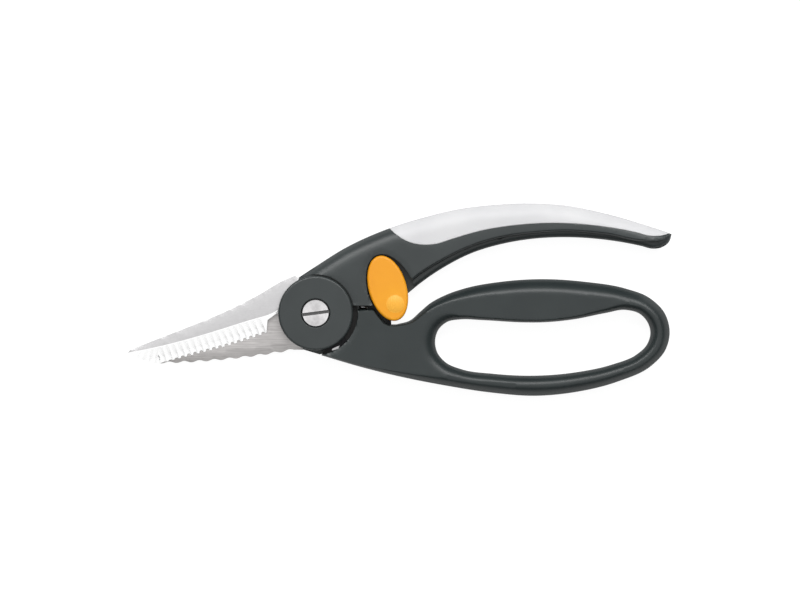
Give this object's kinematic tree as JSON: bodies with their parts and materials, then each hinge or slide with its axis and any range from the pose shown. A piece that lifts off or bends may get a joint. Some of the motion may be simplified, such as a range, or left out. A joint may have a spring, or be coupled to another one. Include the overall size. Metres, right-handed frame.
{
  "type": "poultry shears",
  "caption": "Spring-opened kitchen shears with a fluted front blade, a scalloped rear blade, a finger loop, a palm bow and a swinging thumb lock.",
  "frame": {"origin": "the pivot axis where it meets the plane that the shears rest on: the centre of the pivot screw's end face", "axes": "+Z is the thickness, out of the front face; the blade tips point along -X and the handles along +X; the palm bow is on the +Y side and the finger loop on the -Y side"},
  "size_m": [0.2502, 0.0885, 0.016],
  "materials": {
    "handle_plastic": "fine matte texture",
    "palm_inlay": "soft satin",
    "lever_plastic": "satin, with a ribbed thumb spot",
    "polished_blade": "fine ground, bright fluted bevel",
    "brushed_blade": "brushed along its length",
    "pivot_steel": "turned face",
    "small_steel": "plain",
    "black_steel": "blackened"
  },
  "bodies": {
    "lower_half": {"front_blade": "polished_blade", "loop_front_shell": "handle_plastic", "loop_back_shell": "handle_plastic", "loop_handle_screws": "small_steel", "lock_catch": "black_steel", "opening_spring": "small_steel"},
    "upper_half": {"upper_back_shell": "handle_plastic", "upper_front_shell": "handle_plastic", "palm_inlay": "palm_inlay", "rear_blade": "brushed_blade", "hub_cover": "handle_plastic", "wave_washer": "small_steel", "pivot_screw": "pivot_steel", "pivot_nut": "small_steel", "upper_handle_screws": "small_steel", "lever_pin": "small_steel", "detent_spring": "small_steel"},
    "lock_lever": {"lock_lever": "lever_plastic", "lock_hook": "small_steel", "hook_rivets": "small_steel"}
  },
  "joints": [
    {"name": "blade_pivot", "type": "hinge", "parent": "lower_half", "child": "upper_half", "pos_m": [0, 0, 0], "axis": [0, 0, 1], "range_deg": [0, 34], "deforming": ["opening_spring"]},
    {"name": "lock_swing", "type": "hinge", "parent": "upper_half", "child": "lock_lever", "pos_m": [0.03, 0.0224, 0], "axis": [0, 0, 1], "range_deg": [0, 12]}
  ]
}
